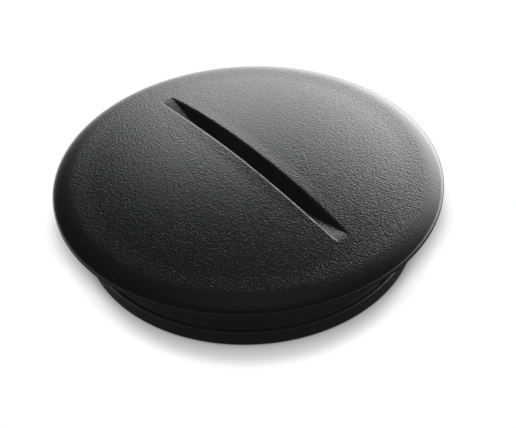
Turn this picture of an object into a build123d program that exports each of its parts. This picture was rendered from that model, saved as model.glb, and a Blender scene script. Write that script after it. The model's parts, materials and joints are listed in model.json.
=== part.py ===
from build123d import *
from math import cos, radians, sin, sqrt, tan
import os

# Slotted blanking plug: one moulding in black plastic that closes a round
# hole in a panel. A shallow domed head covers the hole, a short hollow
# spigot snaps into it, and a coin slot in the head turns or lifts it out.
# The origin is the centre of the spigot's open end, +Z runs up through the
# crown of the dome, and the slot lies along X. Millimetres.

# Head
head_diameter = 40.0
seat_height = 6.4            # open end up to the flat underside of the head
dome_height = 9.36           # open end up to the crown
dome_radius = 96.0
dome_edge_radius = 16.2      # plan radius where the dome meets the rim ring
ring_end_radius = 17.5       # the ring is a little flatter than the dome's edge
ring_slope_deg = 8.0
fall_slope_deg = 22.0        # slope that the rim falls to before its round edge
rim_round = 0.75

# Spigot
bead_diameter = 35.0         # snap bead at the open end
bead_height = 1.9
bead_shoulder = 0.3          # sloped top of the bead
lead_in = 0.3                # sloped open end
neck_diameter = 34.2
neck_root_bevel = 0.5        # under the head
spigot_wall = 1.9

# Hollow
crown_wall = 2.0             # wall thickness under the dome
hollow_corner = 0.7          # bevel between the crown and the wall
hollow_draft_deg = 1.0

# Coin slot
slot_length = 30.0           # where the floor runs out through the dome
slot_plan_length = 33.0      # the lens-shaped plan runs on past that
slot_end_width = 1.3
slot_mid_width = 1.8
slot_floor_radius = 120.0    # the floor is an arc, deepest at the middle
slot_draft_deg = 1.5
slot_lip_bevel = 0.12
slot_wall = 1.5              # moulded wall round the slot, in the hollow
keel_draft_deg = 2.0

head_radius = head_diameter / 2
bead_radius = bead_diameter / 2
neck_radius = neck_diameter / 2
hollow_radius = neck_radius - spigot_wall
dome_centre_z = dome_height - dome_radius


def dome_z(distance, wall=0.0):
    """Height of the dome, or of a face a wall below it, at a plan distance."""
    return dome_centre_z + sqrt((dome_radius - wall) ** 2 - distance ** 2)


def dome_arc(reach, wall=0.0):
    """Half section of the dome, or of the crown's inside, out to a reach."""
    crown = (0, dome_z(0, wall))
    half_way = (reach / 2, dome_z(reach / 2, wall))
    return ThreePointArc(crown, half_way, (reach, dome_z(reach, wall)))


def turned(outline):
    """Turn a half section, drawn with radius along X and height along Z."""
    return revolve(Plane.XZ * make_face(outline), Axis.Z)


def arc_by_slope(centre, radius, first_deg, last_deg):
    """Arc of a half section that falls outward from one slope to another."""
    points = []
    for slope_deg in (first_deg, (first_deg + last_deg) / 2, last_deg):
        across = centre[0] + radius * sin(radians(slope_deg))
        up = centre[1] + radius * cos(radians(slope_deg))
        points.append((across, up))
    return ThreePointArc(*points)


def rim_arcs(ring_end_z):
    """The rim outside the ring: a gentle fall, then the round edge."""
    ring_sin = sin(radians(ring_slope_deg))
    ring_cos = cos(radians(ring_slope_deg))
    fall_sin = sin(radians(fall_slope_deg))
    fall_cos = cos(radians(fall_slope_deg))
    round_centre_x = head_radius - rim_round
    fall_run = round_centre_x + rim_round * fall_sin - ring_end_radius
    fall_radius = fall_run / (fall_sin - ring_sin)
    fall_centre_x = ring_end_radius - fall_radius * ring_sin
    fall_centre_z = ring_end_z - fall_radius * ring_cos
    round_centre_z = fall_centre_z + (fall_radius - rim_round) * fall_cos
    return [
        arc_by_slope((fall_centre_x, fall_centre_z), fall_radius, ring_slope_deg, fall_slope_deg),
        arc_by_slope((round_centre_x, round_centre_z), rim_round, fall_slope_deg, 90),
    ]


def head_and_spigot():
    """The outer form, still solid: dome, ring, rounded rim, neck and bead."""
    ring_start = (dome_edge_radius, dome_z(dome_edge_radius))
    ring_width = ring_end_radius - dome_edge_radius
    ring_end_z = ring_start[1] - ring_width * tan(radians(ring_slope_deg))
    fall, edge = rim_arcs(ring_end_z)
    return turned(
        [
            dome_arc(dome_edge_radius),
            Line(ring_start, (ring_end_radius, ring_end_z)),
            fall,
            edge,
            Polyline(
                edge @ 1,
                (head_radius, seat_height),
                (neck_radius + neck_root_bevel, seat_height),
                (neck_radius, seat_height - neck_root_bevel),
                (neck_radius, bead_height),
                (bead_radius - bead_shoulder, bead_height),
                (bead_radius, bead_height - bead_shoulder),
                (bead_radius, lead_in),
                (bead_radius - lead_in, 0),
                (0, 0),
                (0, dome_height),
            ),
        ]
    )


def lens(length, end_width, mid_width):
    """Plan outline of the slot: two bowed sides and two square ends."""
    half_length = length / 2
    half_end = end_width / 2
    half_mid = mid_width / 2
    return make_face(
        [
            ThreePointArc((-half_length, half_end), (0, half_mid), (half_length, half_end)),
            Line((half_length, half_end), (half_length, -half_end)),
            ThreePointArc((half_length, -half_end), (0, -half_mid), (-half_length, -half_end)),
            Line((-half_length, -half_end), (-half_length, half_end)),
        ]
    )


def above_floor(floor_radius):
    """Everything above the slot's arc floor, as a disc lying across the slot."""
    half_length = slot_length / 2
    rise = sqrt(slot_floor_radius ** 2 - half_length ** 2)
    centre_z = dome_z(half_length) + rise
    return Pos(0, 0, centre_z) * Rot(90, 0, 0) * Cylinder(floor_radius, head_diameter)


def slot_space():
    """The slot itself: a drafted lens that ends on the arc floor."""
    plan = lens(slot_plan_length, slot_end_width, slot_mid_width)
    top = Plane.XY.offset(dome_height) * plan
    deep = extrude(top, amount=-dome_height, taper=slot_draft_deg)
    return (deep + extrude(top, amount=1)) & above_floor(slot_floor_radius)


def slot_keel():
    """The wall round the slot that hangs into the hollow, one step larger."""
    grow = 2 * slot_wall
    plan = lens(slot_plan_length + grow, slot_end_width + grow, slot_mid_width + grow)
    top = Plane.XY.offset(dome_height) * plan
    deep = extrude(top, amount=-dome_height, taper=keel_draft_deg)
    return deep & above_floor(slot_floor_radius + slot_wall)


def hollow():
    """The moulded hollow: an even crown above, and the keel left standing."""
    reach = hollow_radius - hollow_corner
    corner_z = dome_z(reach, crown_wall)
    wall_top_z = corner_z - hollow_corner
    mouth_radius = hollow_radius + wall_top_z * tan(radians(hollow_draft_deg))
    space = turned(
        [
            dome_arc(reach, crown_wall),
            Polyline(
                (reach, corner_z),
                (hollow_radius, wall_top_z),
                (mouth_radius, 0),
                (0, 0),
                (0, dome_z(0, crown_wall)),
            ),
        ]
    )
    return space - slot_keel()


def is_slot_lip(edge):
    """Whether an edge is one of the two long edges of the slot's mouth."""
    middle = edge.center()
    at_crown = dome_height - middle.Z < slot_lip_bevel
    return edge.length > 0.9 * slot_length and at_crown and abs(middle.Y) < slot_mid_width


def blanking_plug():
    """The whole moulding, with the long lips of the slot eased."""
    body = head_and_spigot() - hollow() - slot_space()
    return chamfer(body.edges().filter_by(is_slot_lip), slot_lip_bevel)


plug = blanking_plug()
plug.label = "blanking_plug"

os.makedirs("parts", exist_ok=True)
export_step(plug, "parts/blanking_plug.step")
print(f"blanking_plug: {plug.volume:.0f} mm3, {plug.bounding_box()}")
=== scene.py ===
import json
from math import acos, cos, pi, radians, sin, sqrt, tan

import bmesh
import bpy
import numpy as np
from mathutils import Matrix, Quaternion, Vector


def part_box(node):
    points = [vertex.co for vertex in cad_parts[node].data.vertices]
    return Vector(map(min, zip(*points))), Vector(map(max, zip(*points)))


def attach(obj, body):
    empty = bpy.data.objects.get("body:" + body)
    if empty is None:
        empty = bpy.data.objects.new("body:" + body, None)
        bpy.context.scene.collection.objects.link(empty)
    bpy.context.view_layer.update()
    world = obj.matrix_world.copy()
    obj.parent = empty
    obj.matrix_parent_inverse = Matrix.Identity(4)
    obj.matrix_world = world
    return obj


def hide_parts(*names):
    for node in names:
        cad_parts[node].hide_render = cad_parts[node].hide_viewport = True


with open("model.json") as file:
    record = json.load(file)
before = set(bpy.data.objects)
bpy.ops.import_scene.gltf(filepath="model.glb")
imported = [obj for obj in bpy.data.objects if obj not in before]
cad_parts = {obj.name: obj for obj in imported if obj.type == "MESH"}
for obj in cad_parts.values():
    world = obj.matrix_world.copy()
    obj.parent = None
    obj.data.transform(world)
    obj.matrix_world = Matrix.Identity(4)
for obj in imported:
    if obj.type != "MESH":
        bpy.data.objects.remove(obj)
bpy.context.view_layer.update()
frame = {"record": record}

# Slotted blanking plug: one black moulding, drawn here as one fine mesh that
# stands for the CAD solid. Sizes are in millimetres and are turned to metres
# when the mesh is made. The slot lies along X.

NODE = "blanking_plug"
MM = 0.001

mounts = {m["name"]: m for m in frame["record"]["mounts"]}

# Head: a dome, a flatter ring, a rolled rim and a short upright land
HEAD_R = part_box(NODE)[1].x / MM
SEAT_Z = mounts["head_seat"]["pos_m"][2] / MM
CROWN_Z = 9.36
DOME_R = 96.0
DOME_EDGE = 16.2
RING_EDGE = 17.7
RING_SLOPE = radians(8.0)
ROLL_FULLNESS = radians(40.0)
LAND = 0.4
UNDER_ROUND = 0.15

# Soft swelling of the head along both sides of the slot
SWELL_HEIGHT = 0.10
SWELL_REACH = 2.5
SWELL_LENGTH = 16.5

# Spigot
BEAD_R = mounts["snap_bead"]["dims"]["r_mm"]
BEAD_Z = 1.9
BEAD_ROUND = 0.3
LEAD_ROUND = 0.3
NECK_R = 17.1
NECK_ROOT = 0.5
NECK_FOOT = 0.15
SPIGOT_WALL = 1.9

# Hollow
CROWN_WALL = 2.0
HOLLOW_CORNER = 0.6
HOLLOW_DRAFT = radians(1.0)
MOUTH_ROUND = 0.1

# Coin slot, and the keel: the moulded wall round it, in the hollow
SLOT_HALF = 15.0
SLOT_PLAN_HALF = 16.5
SLOT_END_W = 0.55
SLOT_MID_W = 0.85
SLOT_BOW = 3.5
SLOT_FLOOR_R = 112.0
SLOT_DRAFT = radians(1.5)
LIP_WIDE = 0.28
LIP_DEEP = 0.12
LIP_MOST = 0.8           # share of the slot's depth that the lip may take
END_BLEND = 0.2
SLOT_WALL = 1.5
KEEL_HALF = 13.05
KEEL_DRAFT = radians(2.0)
KEEL_ROUND = 0.15
KEEL_MOST = 0.4          # share of the keel's depth that each rounding may take

# Points round each loop of the mesh: along each side of the slot, and
# across each of its ends
SIDE_STEPS = 200
END_STEPS = 6

# Rows of the mesh
SLOT_WALL_STEPS = 6
LIP_STEPS = 5
KEEL_ROUND_STEPS = 4
KEEL_WALL_STEPS = 5
HEAD_STEPS = 44
HEAD_BUNCH = 1.7         # draws the head's rows in towards the slot
CROWN_STEPS = 18
ROLL_STEPS = 22
CORNER_POINTS = 6
HOLLOW_CORNER_POINTS = 8

# Longest steps along the profiles, and the two points where they meet: on the
# open end, as distances out from the hollow
RIM_STEP = 0.3
SPIGOT_STEP = 0.6
HOLLOW_STEP = 0.7
OPEN_END_OUT = 1.0
OPEN_END_IN = 0.6
CROWN_START = 0.4        # crown's first point, in from the hollow's corner

# Strength of the grain: on the spigot and in the hollow, and at the rim,
# where it fades between two radii
SMOOTH_GRAIN = 0.12
RIM_GRAIN = 0.18
GRAIN_FADE = (17.6, 19.4)

FLUSH = 1e-9             # depth at which the slot's floor has run out
HALVINGS = 40
UNDER_HEAD = 0.01        # how near the seat's height a loop counts as under it
WELD = 1e-7              # metres
SHARP_ANGLE = radians(35)

# Plastic: texture scales are per metre, a noise is its scale, detail and
# roughness, and colours are linear
GRAIN_NOISE = (5600.0, 1.0, 0.5)
PIT_SCALE = 5000.0
PIT_SOFTNESS = 0.6
PIT_SHARE = 0.5
GRAIN_RANGE = (0.6, 1.1)
PATCH_NOISE = (160.0, 3.0, 0.6)
PATCH_RANGE = (0.3, 0.7)
STREAK_NOISE = (700.0, 2.0, 0.5)
STREAK_RANGE = (0.25, 0.75)
DUST_SCALE = 420.0
DUST_SIZE = 0.05
DUST_CHOICE = 0.82       # a higher value keeps fewer specks
DARK_COLOUR = (0.004, 0.004, 0.0041, 1)
LIGHT_COLOUR = (0.006, 0.006, 0.0062, 1)
# Lighter colour of the grain tops: painted shading, so the pits between them read as
# shaded
GRAIN_PAINTED_SHADING_COLOUR = (0.016, 0.016, 0.0162, 1)
DUST_COLOUR = (0.12, 0.12, 0.12, 1)
WHITE = (1, 1, 1, 1)
SMOOTH_ROUGHNESS = 0.290
GRAIN_ROUGHNESS = 0.281
STREAK_ROUGHNESS = 0.005
BUMP_DISTANCE = 0.000036
PLASTIC_IOR = 1.5

# View: degrees, metres, and the lens in millimetres
VIEW_AZIMUTH = 54.3
VIEW_ELEVATION = 41.7
VIEW_ROLL = radians(-2.76)
VIEW_DISTANCE = 0.106
VIEW_LENS = 68.63
VIEW_SENSOR = 36.0
VIEW_SHIFT = (0.0159, 0.0169)
VIEW_CLIP = (0.005, 20.0)
WHITE_LEVEL = 1.02
BLACK_LIFT = -0.0045

# Floor, in metres, and its contact shade
FLOOR_HALF = 3.0
FLOOR_STEPS = 12
CONTACT_REACH = 0.0025
CONTACT_SAMPLES = 24

# Soft shade on the floor, as discs in millimetres: how far the centre lies from
# the plug's towards the main view, where the edge starts and where it ends
FRONT_DISC = (3.6, 15.0, 17.2)
BACK_DISC = (-9.0, 21.5, 25.1)
HEAD_DISC = (0.0, 19.6, 22.9)
FRONT_DARK = 0.30
BACK_DARK = 0.63

# Soft lights behind the plug: degrees round from straight behind it (positive
# to the left in the main view) and how wide, degrees up and how tall, radiance
LOBES = (
    (5.3, 7.7, 26.8, 8.5, 6.0),
    (-28.5, 22.5, 24.0, 13.0, 6.8),
    (-46.0, 44.0, 4.6, 6.5, 10.5),
    (8.0, 68.0, -16.0, 13.0, 3.2),
)

# Weak light from elsewhere. Each edge is a pair of heights (0 at the horizon,
# 1 straight up), but FRONT_EDGE runs from the main view's side (-1) to behind
# the plug (1)
FLOOR_LEVEL = 0.05
ROOM_LEVEL = 0.01
HORIZON_EDGE = (-0.06, 0.02)
FRONT_LEVEL = 0.28
FRONT_EDGE = (-0.5, 0.4)
FRONT_TOP_EDGE = (0.25, 0.5)
OVERHEAD_LEVEL = 0.18
OVERHEAD_EDGE = (0.93, 0.99)

DOME_CENTRE_Z = CROWN_Z - DOME_R
HOLLOW_R = NECK_R - SPIGOT_WALL


# ---------------------------------------------------------------- surfaces

def dome_z(distance, wall=0.0):
    """Height of the dome, or of a face a wall below it."""
    return DOME_CENTRE_Z + np.sqrt((DOME_R - wall) ** 2 - distance ** 2)


def swell(x, y):
    """How far the head rises above its dome beside the slot."""
    across = np.clip(1 - (y / SWELL_REACH) ** 2, 0, 1)
    along = np.clip(1 - (x / SWELL_LENGTH) ** 2, 0, 1)
    return SWELL_HEIGHT * across ** 2 * along ** 2


def head_z(x, y):
    return dome_z(np.hypot(x, y)) + swell(x, y)


def ceiling_z(x, y):
    return dome_z(np.hypot(x, y), CROWN_WALL)


SLOT_CENTRE_Z = float(dome_z(SLOT_HALF)) + sqrt(SLOT_FLOOR_R ** 2 - SLOT_HALF ** 2)


def slot_floor_z(x):
    """The slot's arc floor, which runs out softly into the head at its ends."""
    arc = SLOT_CENTRE_Z - np.sqrt(SLOT_FLOOR_R ** 2 - x ** 2)
    head = head_z(x, 0.0)
    depth = np.maximum(head - arc, 0)
    return head - depth ** 2 / (depth + END_BLEND)


def slot_half_width(x):
    along = np.abs(x / SLOT_PLAN_HALF)
    return SLOT_MID_W - (SLOT_MID_W - SLOT_END_W) * along ** SLOT_BOW


def keel_floor_z(x):
    """Underside of the wall round the slot: an arc that ends on the crown."""
    mid_z = SLOT_CENTRE_Z - SLOT_FLOOR_R - SLOT_WALL
    rise = float(dome_z(KEEL_HALF, CROWN_WALL)) - mid_z
    radius = (KEEL_HALF ** 2 + rise ** 2) / (2 * rise)
    return mid_z + radius - np.sqrt(radius ** 2 - x ** 2)


def keel_half_width(x):
    return slot_half_width(x) + SLOT_WALL


def slot_end_x():
    """Where the slot's floor comes up through the head."""
    inside, outside = SLOT_HALF - 1, SLOT_HALF + 1
    for _ in range(HALVINGS):
        middle = (inside + outside) / 2
        if slot_floor_z(middle) < head_z(middle, 0.0) - FLUSH:
            inside = middle
        else:
            outside = middle
    return inside


# ------------------------------------------------------------------- loops

END_ANGLE = pi / (2 * SIDE_STEPS / END_STEPS + 2)


def side_angles():
    return np.linspace(END_ANGLE, pi - END_ANGLE, SIDE_STEPS + 1)


def stations(half_length):
    """X of the points along one side, from +X to -X."""
    bunched = np.cos(side_angles()) / cos(END_ANGLE)
    even = np.linspace(1, -1, SIDE_STEPS + 1)
    return half_length * (0.5 * bunched + 0.5 * even)


def across_shares():
    """Shares of the half width at the points across an end, corners left out."""
    return np.linspace(1, -1, END_STEPS + 1)[1:-1]


def slot_loop(x, half_width, z):
    """A closed loop with two long sides and two square ends."""
    ends = half_width[0] * across_shares()
    flat = np.ones(len(ends))
    xs = np.concatenate([x, flat * x[-1], x[::-1], flat * x[0]])
    ys = np.concatenate([half_width, ends, -half_width[::-1], -ends])
    zs = np.concatenate([z, flat * z[-1], z[::-1], flat * z[0]])
    return np.stack([xs, ys, zs], axis=1)


def loop_angles():
    side = side_angles()
    end = np.linspace(-END_ANGLE, END_ANGLE, END_STEPS + 1)[1:-1]
    return np.concatenate([side, end + pi, side + pi, end])


ANGLES = loop_angles()


def circle_loop(radius, z):
    flat = np.full(len(ANGLES), float(z))
    return np.stack([radius * np.cos(ANGLES), radius * np.sin(ANGLES), flat], axis=1)


def spread(inner, outer, steps, surface, bunch=1.0):
    """Loops from inner to outer, both left out, laid on a surface."""
    loops = []
    for k in range(1, steps):
        share = (k / steps) ** bunch
        xy = inner[:, :2] * (1 - share) + outer[:, :2] * share
        z = surface(xy[:, 0], xy[:, 1])
        loops.append(np.column_stack([xy, z]))
    return loops


def quarter_turn(steps):
    return np.linspace(0, pi / 2, steps + 1)


def slot_loops():
    """From the edge of the slot's floor up its walls and over its lips."""
    x = stations(slot_end_x())
    floor = slot_floor_z(x)
    plan = slot_half_width(x)
    lip_z = head_z(x, plan)
    lip_z[0] = floor[0]
    lip_z[-1] = floor[-1]
    lip_w = plan - (CROWN_Z - lip_z) * tan(SLOT_DRAFT)
    ease = np.minimum(LIP_DEEP, LIP_MOST * (lip_z - floor))
    loops = []
    for share in np.linspace(0, 1, SLOT_WALL_STEPS + 1):
        z = floor + (lip_z - ease - floor) * share
        loops.append(slot_loop(x, lip_w - (lip_z - z) * tan(SLOT_DRAFT), z))
    for turn in quarter_turn(LIP_STEPS)[1:]:
        width = lip_w + LIP_WIDE * (1 - cos(turn))
        top = head_z(x, width)
        loops.append(slot_loop(x, width, top - ease * (1 - sin(turn))))
    return loops


def keel_loops():
    """From the crown's inside down the slot's wall to its underside."""
    x = stations(KEEL_HALF)
    drop = CROWN_Z - dome_z(x, CROWN_WALL)
    foot_w = keel_half_width(x) - drop * tan(KEEL_DRAFT)
    top = ceiling_z(x, foot_w)
    bottom = np.minimum(keel_floor_z(x), top)
    bottom[0] = top[0]
    bottom[-1] = top[-1]
    ease = np.minimum(KEEL_ROUND, KEEL_MOST * (top - bottom))
    loops = []
    for turn in quarter_turn(KEEL_ROUND_STEPS):
        width = foot_w + ease * (1 - sin(turn))
        loops.append(slot_loop(x, width, top - ease * (1 - cos(turn))))
    for share in np.linspace(0, 1, KEEL_WALL_STEPS + 1)[1:]:
        z = top - ease - (top - bottom - 2 * ease) * share
        loops.append(slot_loop(x, foot_w - (top - z) * tan(KEEL_DRAFT), z))
    low_w = foot_w - (top - bottom) * tan(KEEL_DRAFT)
    for turn in quarter_turn(KEEL_ROUND_STEPS)[1:]:
        width = low_w - ease * (1 - cos(turn))
        loops.append(slot_loop(x, width, bottom + ease * (1 - sin(turn))))
    return loops


# ----------------------------------------------------------------- profile

def rounded(corners, count=CORNER_POINTS):
    """A line of (radius, height, rounding) corners, with each one rounded."""
    points = []
    for k, (r, z, rounding) in enumerate(corners):
        here = np.array([r, z])
        if rounding == 0 or k in (0, len(corners) - 1):
            points.append(here)
            continue
        back = np.array(corners[k - 1][:2]) - here
        on = np.array(corners[k + 1][:2]) - here
        back /= np.linalg.norm(back)
        on /= np.linalg.norm(on)
        half = acos(float(np.clip(back @ on, -1, 1))) / 2
        middle = back + on
        centre = here + middle / np.linalg.norm(middle) * rounding / sin(half)
        first = here + back * rounding / tan(half) - centre
        last = here + on * rounding / tan(half) - centre
        for share in np.linspace(0, 1, count):
            arm = first * (1 - share) + last * share
            points.append(centre + arm / np.linalg.norm(arm) * rounding)
    return points


def divided(points, longest):
    """The same line, with no step longer than a given length."""
    fine = [points[0]]
    for a, b in zip(points, points[1:]):
        pieces = max(1, int(np.ceil(np.linalg.norm(b - a) / longest)))
        fine += [a + (b - a) * k / pieces for k in range(1, pieces + 1)]
    return fine


def rolled_rim(start, land_top):
    """The rounded edge of the head, from the ring to the upright land."""
    corner_z = start[1] - (land_top[0] - start[0]) * tan(RING_SLOPE)
    corner = np.array([land_top[0], corner_z])
    points = []
    for t in np.linspace(0, 1, ROLL_STEPS + 1):
        pull = 2 * t * (1 - t) * cos(ROLL_FULLNESS)
        weights = np.array([(1 - t) ** 2, pull, t ** 2])
        weights /= weights.sum()
        points.append(weights[0] * start + weights[1] * corner + weights[2] * land_top)
    return points


def outer_profile():
    """From the dome's edge out over the rim and down to the open end."""
    dome_edge = np.array([DOME_EDGE, float(dome_z(DOME_EDGE))])
    width = RING_EDGE - DOME_EDGE
    ring_edge = np.array([RING_EDGE, dome_edge[1] - width * tan(RING_SLOPE)])
    land_top = np.array([HEAD_R, SEAT_Z + LAND])
    ring = divided([dome_edge, ring_edge], RIM_STEP)
    rim = ring[:-1] + rolled_rim(ring_edge, land_top)
    spigot = rounded([
        (HEAD_R, SEAT_Z + LAND, 0),
        (HEAD_R, SEAT_Z, UNDER_ROUND),
        (NECK_R, SEAT_Z, NECK_ROOT),
        (NECK_R, BEAD_Z, NECK_FOOT),
        (BEAD_R, BEAD_Z, BEAD_ROUND),
        (BEAD_R, 0, LEAD_ROUND),
        (HOLLOW_R + OPEN_END_OUT, 0, 0),
    ])
    return rim + divided(spigot, SPIGOT_STEP)[1:]


def inner_profile():
    """From the open end up the hollow's wall and round on to the crown."""
    crown_r = HOLLOW_R - HOLLOW_CORNER - CROWN_START
    ceiling = float(dome_z(HOLLOW_R, CROWN_WALL))
    mouth = HOLLOW_R + ceiling * tan(HOLLOW_DRAFT)
    wall = rounded([
        (mouth + OPEN_END_IN, 0, 0),
        (mouth, 0, MOUTH_ROUND),
        (HOLLOW_R, ceiling, HOLLOW_CORNER),
        (crown_r, float(dome_z(crown_r, CROWN_WALL)), 0),
    ], HOLLOW_CORNER_POINTS)
    return divided(wall, HOLLOW_STEP)[:-1]


# -------------------------------------------------------------------- mesh

def grain_shares(loops):
    """How strongly each loop shows the moulded grain, from 0 to 1.

    The grain ends under the rim, so the spigot and the hollow have little.
    """
    shares = []
    past_rim = False
    for loop in loops:
        reach = float(np.hypot(loop[:, 0], loop[:, 1]).max())
        height = float(loop[:, 2].mean())
        past_rim = past_rim or height < SEAT_Z + UNDER_HEAD
        if past_rim:
            shares.append(SMOOTH_GRAIN)
        else:
            shares.append(float(np.interp(reach, GRAIN_FADE, [1.0, RIM_GRAIN])))
    return shares


def fill_patch(points, loop_index, loop, floor):
    """Adds the points that close a slot-shaped loop, and gives its quads."""
    base = loop_index * len(ANGLES)
    plus = list(range(base, base + SIDE_STEPS + 1))
    first_minus = base + SIDE_STEPS + END_STEPS
    minus = list(range(first_minus + SIDE_STEPS, first_minus - 1, -1))
    x, width, edge_z = loop[: SIDE_STEPS + 1].T
    z = floor(x)
    z[0] = edge_z[0]
    z[-1] = edge_z[-1]
    grid = [plus]
    for share in across_shares():
        start = sum(len(p) for p in points)
        points.append(np.column_stack([x, width * share, z]))
        grid.append(list(range(start, start + SIDE_STEPS + 1)))
    grid.append(minus)
    return [(a[k], a[k + 1], b[k + 1], b[k])
            for a, b in zip(grid, grid[1:]) for k in range(SIDE_STEPS)]


def plug_loops():
    """All loops in order, from the slot's floor round to the keel's underside."""
    slot = slot_loops()
    outer = [circle_loop(r, z) for r, z in outer_profile()]
    inner = [circle_loop(r, z) for r, z in inner_profile()]
    keel = keel_loops()
    head = spread(slot[-1], outer[0], HEAD_STEPS, head_z, HEAD_BUNCH)
    crown = spread(keel[0], inner[-1], CROWN_STEPS, ceiling_z)[::-1]
    return slot + head + outer + inner + crown + keel


def band_quads(loop_count):
    """Quads between each loop and the next."""
    count = len(ANGLES)
    quads = []
    for k in range(loop_count - 1):
        a, b = k * count, (k + 1) * count
        for i in range(count):
            j = (i + 1) % count
            quads.append((a + i, a + j, b + j, b + i))
    return quads


def weld(mesh):
    """Joins points that meet and turns all faces outwards."""
    work = bmesh.new()
    work.from_mesh(mesh)
    bmesh.ops.remove_doubles(work, verts=work.verts, dist=WELD)
    bmesh.ops.recalc_face_normals(work, faces=work.faces)
    work.to_mesh(mesh)
    work.free()


def make_plug():
    loops = plug_loops()
    points = list(loops)
    quads = band_quads(len(loops))
    quads += fill_patch(points, 0, loops[0], slot_floor_z)
    slot_points = sum(len(p) for p in points[len(loops):])
    quads += fill_patch(points, len(loops) - 1, loops[-1], keel_floor_z)
    keel_points = sum(len(p) for p in points[len(loops):]) - slot_points
    shares = np.concatenate([
        np.repeat(grain_shares(loops), len(ANGLES)),
        np.full(slot_points, 1.0),
        np.full(keel_points, SMOOTH_GRAIN),
    ])

    mesh = bpy.data.meshes.new("plug_moulding")
    mesh.from_pydata((np.vstack(points) * MM).tolist(), [], quads)
    grain = mesh.attributes.new("grain", "FLOAT", "POINT")
    grain.data.foreach_set("value", shares.astype(np.float32))
    weld(mesh)
    mesh.shade_smooth()
    mesh.set_sharp_from_angle(angle=SHARP_ANGLE)

    plug = bpy.data.objects.new("plug_moulding", mesh)
    bpy.context.scene.collection.objects.link(plug)
    return plug


# --------------------------------------------------------------- materials

class Nodes:
    """Small helper that adds and joins shader nodes."""

    def __init__(self, owner):
        owner.use_nodes = True
        self.tree = owner.node_tree
        self.tree.nodes.clear()

    def add(self, kind, **values):
        node = self.tree.nodes.new(kind)
        for name, value in values.items():
            setattr(node, name, value)
        return node

    def put(self, node, socket, value):
        if isinstance(value, bpy.types.NodeSocket):
            self.tree.links.new(value, node.inputs[socket])
        else:
            node.inputs[socket].default_value = value

    def math(self, operation, a, b=0.0, clamp=False):
        node = self.add("ShaderNodeMath", operation=operation, use_clamp=clamp)
        self.put(node, 0, a)
        self.put(node, 1, b)
        return node.outputs[0]

    def times(self, a, b):
        return self.math("MULTIPLY", a, b)

    def plus(self, a, b):
        return self.math("ADD", a, b)

    def noise(self, where, scale, detail, roughness):
        node = self.add("ShaderNodeTexNoise")
        self.put(node, "Vector", where)
        self.put(node, "Scale", scale)
        self.put(node, "Detail", detail)
        self.put(node, "Roughness", roughness)
        return node.outputs["Fac"]

    def cells(self, where, scale, feature):
        node = self.add("ShaderNodeTexVoronoi", feature=feature)
        self.put(node, "Vector", where)
        self.put(node, "Scale", scale)
        return node

    def span(self, value, edge, low_out, high_out, kind="LINEAR"):
        """A value that goes from low_out to high_out across an edge."""
        node = self.add("ShaderNodeMapRange", interpolation_type=kind)
        self.put(node, "Value", value)
        for socket, number in (("From Min", edge[0]), ("From Max", edge[1]),
                               ("To Min", low_out), ("To Max", high_out)):
            self.put(node, socket, number)
        return node.outputs["Result"]

    def mix_colour(self, share, a, b):
        """Colour a where the share is 0 and colour b where it is 1."""
        node = self.add("ShaderNodeMix", data_type="RGBA")
        self.put(node, "Factor", share)
        self.put(node, 6, a)
        self.put(node, 7, b)
        return node.outputs[2]


def plastic_colour(nodes, where, grain, grain_share):
    """Near black, with slow patches, sparse dust, and painted shading on the grain:
    tops lighter, pits darker.
    """
    patches = nodes.noise(where, *PATCH_NOISE)
    tone = nodes.span(patches, PATCH_RANGE, 0.0, 1.0)
    colour = nodes.mix_colour(tone, DARK_COLOUR, LIGHT_COLOUR)
    # Painted shading of the grain: tops are lighter and pits darker, as if shade falls
    # in the pits
    height = nodes.times(nodes.span(grain, GRAIN_RANGE, 0.0, 1.0), grain_share)
    colour = nodes.mix_colour(height, colour, GRAIN_PAINTED_SHADING_COLOUR)
    dust = nodes.cells(where, DUST_SCALE, "F1")
    near = nodes.math("LESS_THAN", dust.outputs["Distance"], DUST_SIZE)
    chosen = nodes.math("GREATER_THAN", dust.outputs["Color"], DUST_CHOICE)
    return nodes.mix_colour(nodes.times(near, chosen), colour, DUST_COLOUR)


def plastic():
    """Black moulded plastic: fine eroded grain on top, satin elsewhere."""
    material = bpy.data.materials.new("black_plastic")
    nodes = Nodes(material)
    where = nodes.add("ShaderNodeTexCoord").outputs["Object"]
    attribute = nodes.add("ShaderNodeAttribute", attribute_name="grain")
    grain_share = attribute.outputs["Fac"]

    # Grain: rounded bumps about a fifth of a millimetre apart
    coarse = nodes.noise(where, *GRAIN_NOISE)
    pits = nodes.cells(where, PIT_SCALE, "SMOOTH_F1")
    nodes.put(pits, "Smoothness", PIT_SOFTNESS)
    grain = nodes.plus(coarse, nodes.times(pits.outputs["Distance"], PIT_SHARE))

    # Slow variation of gloss over the moulding
    streaks = nodes.noise(where, *STREAK_NOISE)
    gloss = nodes.span(streaks, STREAK_RANGE, -STREAK_ROUGHNESS, STREAK_ROUGHNESS)
    body = nodes.span(grain_share, (0.0, 1.0), SMOOTH_ROUGHNESS, GRAIN_ROUGHNESS)

    bump = nodes.add("ShaderNodeBump")
    nodes.put(bump, "Strength", grain_share)
    nodes.put(bump, "Distance", BUMP_DISTANCE)
    nodes.put(bump, "Height", grain)

    shader = nodes.add("ShaderNodeBsdfPrincipled")
    nodes.put(shader, "Base Color", plastic_colour(nodes, where, grain, grain_share))
    nodes.put(shader, "Roughness", nodes.math("ADD", body, gloss, clamp=True))
    nodes.put(shader, "IOR", PLASTIC_IOR)
    nodes.put(shader, "Normal", bump.outputs["Normal"])
    out = nodes.add("ShaderNodeOutputMaterial")
    nodes.put(out, "Surface", shader.outputs[0])
    return material


def direction(azimuth, elevation):
    """Unit vector towards a place in the studio, seen from the plug."""
    a, e = radians(azimuth), radians(elevation)
    return Vector((sin(a) * cos(e), -cos(a) * cos(e), sin(e)))


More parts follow.
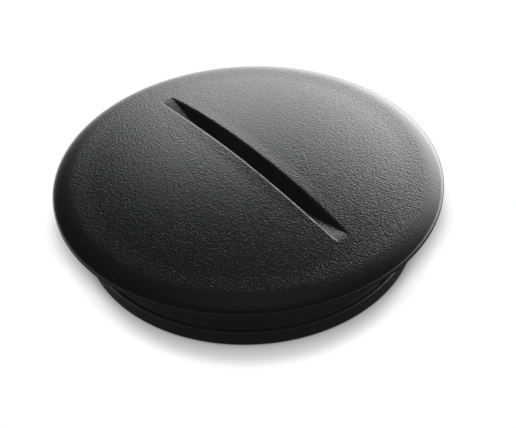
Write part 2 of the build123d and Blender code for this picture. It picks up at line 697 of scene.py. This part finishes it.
def disc_shade(nodes, where, disc):
    """1 inside a disc on the floor, falling softly to 0 at its edge."""
    towards_view, inner, outer = disc
    offset = nodes.add("ShaderNodeVectorMath", operation="SUBTRACT")
    nodes.put(offset, 0, where)
    nodes.put(offset, 1, direction(VIEW_AZIMUTH, 0) * towards_view * MM)
    length = nodes.add("ShaderNodeVectorMath", operation="LENGTH")
    nodes.put(length, 0, offset.outputs[0])
    edge = (inner * MM, outer * MM)
    return nodes.span(length.outputs["Value"], edge, 1.0, 0.0, "SMOOTHSTEP")


def floor_material():
    """Plain white glow, with a painted shadow close to the plug: ambient occlusion and
    soft discs.
    """
    material = bpy.data.materials.new("pale_floor")
    nodes = Nodes(material)
    contact = nodes.add("ShaderNodeAmbientOcclusion", samples=CONTACT_SAMPLES)
    nodes.put(contact, "Distance", CONTACT_REACH)
    where = nodes.add("ShaderNodeTexCoord").outputs["Object"]
    # Painted shadow: soft discs in front of the plug and under its head darken the
    # floor's glow
    front = nodes.times(disc_shade(nodes, where, FRONT_DISC), FRONT_DARK)
    head_shadow = nodes.times(disc_shade(nodes, where, BACK_DISC),
                             disc_shade(nodes, where, HEAD_DISC))
    back = nodes.times(head_shadow, BACK_DARK)
    shade = nodes.times(nodes.math("SUBTRACT", 1.0, front),
                        nodes.math("SUBTRACT", 1.0, back))
    shade = nodes.times(shade, contact.outputs["AO"])
    glow = nodes.add("ShaderNodeEmission")
    nodes.put(glow, "Color", WHITE)
    nodes.put(glow, "Strength", nodes.times(shade, WHITE_LEVEL))
    out = nodes.add("ShaderNodeOutputMaterial")
    nodes.put(out, "Surface", glow.outputs[0])
    return material


# ------------------------------------------------------------------- stage

def make_floor():
    line = np.linspace(-FLOOR_HALF, FLOOR_HALF, FLOOR_STEPS + 1)
    points = [(x, y, 0.0) for y in line for x in line]
    row = FLOOR_STEPS + 1
    corners = [j * row + i for j in range(FLOOR_STEPS) for i in range(FLOOR_STEPS)]
    faces = [(a, a + 1, a + row + 1, a + row) for a in corners]
    mesh = bpy.data.meshes.new("pale_floor")
    mesh.from_pydata(points, [], faces)
    floor = bpy.data.objects.new("pale_floor", mesh)
    bpy.context.scene.collection.objects.link(floor)
    floor.data.materials.append(floor_material())
    floor.visible_glossy = False
    floor.visible_diffuse = False
    return floor


def weak_light(nodes, towards):
    """Level of the room, of a low fill in front and of a patch overhead."""
    x, z = towards.outputs["X"], towards.outputs["Z"]
    level = nodes.span(z, HORIZON_EDGE, FLOOR_LEVEL, ROOM_LEVEL)
    in_front = nodes.span(x, FRONT_EDGE, FRONT_LEVEL, 0.0)
    low_down = nodes.span(z, FRONT_TOP_EDGE, 1.0, 0.0)
    over_floor = nodes.span(z, HORIZON_EDGE, 0.0, 1.0)
    front = nodes.times(in_front, nodes.times(low_down, over_floor))
    overhead = nodes.span(z, OVERHEAD_EDGE, 0.0, OVERHEAD_LEVEL)
    return nodes.plus(level, nodes.plus(front, overhead))


def lobe_light(nodes, side, height, lobe):
    """One soft light, brightest at its centre and fading all round."""
    centre, width, up, tall, radiance = lobe
    away = []
    for angle, middle, size in ((side, centre, width), (height, up, tall)):
        off = nodes.math("SUBTRACT", angle, radians(middle))
        off = nodes.math("DIVIDE", off, radians(size))
        away.append(nodes.math("POWER", nodes.math("ABSOLUTE", off), 2.0))
    fall = nodes.times(nodes.plus(*away), -1.0)
    return nodes.times(nodes.math("EXPONENT", fall), radiance)


def make_world():
    """White to the camera; to the plug, one broad soft light from behind.

    A weak fill from low in front and from overhead shows the other sides.

    The light is a sum of smooth lobes, placed by the angle round from
    straight behind the plug and by the height above the floor.
    """
    world = bpy.data.worlds.new("studio")
    bpy.context.scene.world = world
    nodes = Nodes(world)
    rays = nodes.add("ShaderNodeLightPath").outputs["Is Camera Ray"]
    turn = nodes.add("ShaderNodeVectorRotate", rotation_type="Z_AXIS")
    nodes.put(turn, "Vector", nodes.add("ShaderNodeTexCoord").outputs["Generated"])
    nodes.put(turn, "Angle", radians(-VIEW_AZIMUTH - 90))
    towards = nodes.add("ShaderNodeSeparateXYZ")
    nodes.put(towards, 0, turn.outputs[0])
    side = nodes.math("ARCTAN2", towards.outputs["Y"], towards.outputs["X"])
    height = nodes.math("ARCSINE", towards.outputs["Z"])
    level = weak_light(nodes, towards)
    for lobe in LOBES:
        level = nodes.plus(level, lobe_light(nodes, side, height, lobe))

    strength = nodes.add("ShaderNodeMix", data_type="FLOAT")
    nodes.put(strength, 0, rays)
    nodes.put(strength, 2, level)
    nodes.put(strength, 3, WHITE_LEVEL)
    sky = nodes.add("ShaderNodeBackground")
    nodes.put(sky, "Color", WHITE)
    nodes.put(sky, "Strength", strength.outputs[0])
    out = nodes.add("ShaderNodeOutputWorld")
    nodes.put(out, "Surface", sky.outputs[0])


def make_camera():
    data = bpy.data.cameras.new("camera")
    data.lens = VIEW_LENS
    data.sensor_width = VIEW_SENSOR
    data.shift_x, data.shift_y = VIEW_SHIFT
    data.clip_start, data.clip_end = VIEW_CLIP
    camera = bpy.data.objects.new("camera", data)
    back = direction(VIEW_AZIMUTH, VIEW_ELEVATION)
    camera.location = back * VIEW_DISTANCE
    camera.rotation_mode = "QUATERNION"
    aim = back.to_track_quat("Z", "Y")
    camera.rotation_quaternion = aim @ Quaternion((0, 0, 1), VIEW_ROLL)
    bpy.context.scene.collection.objects.link(camera)
    bpy.context.scene.camera = camera


# -------------------------------------------------------------------- scene

plug = make_plug()
plug.data.materials.append(plastic())
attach(plug, "root")
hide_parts(NODE)

make_floor()
make_world()
make_camera()
film = bpy.context.scene.view_settings
film.view_transform = "Standard"
film.use_curve_mapping = True
film.curve_mapping.black_level = (BLACK_LIFT, BLACK_LIFT, BLACK_LIFT)
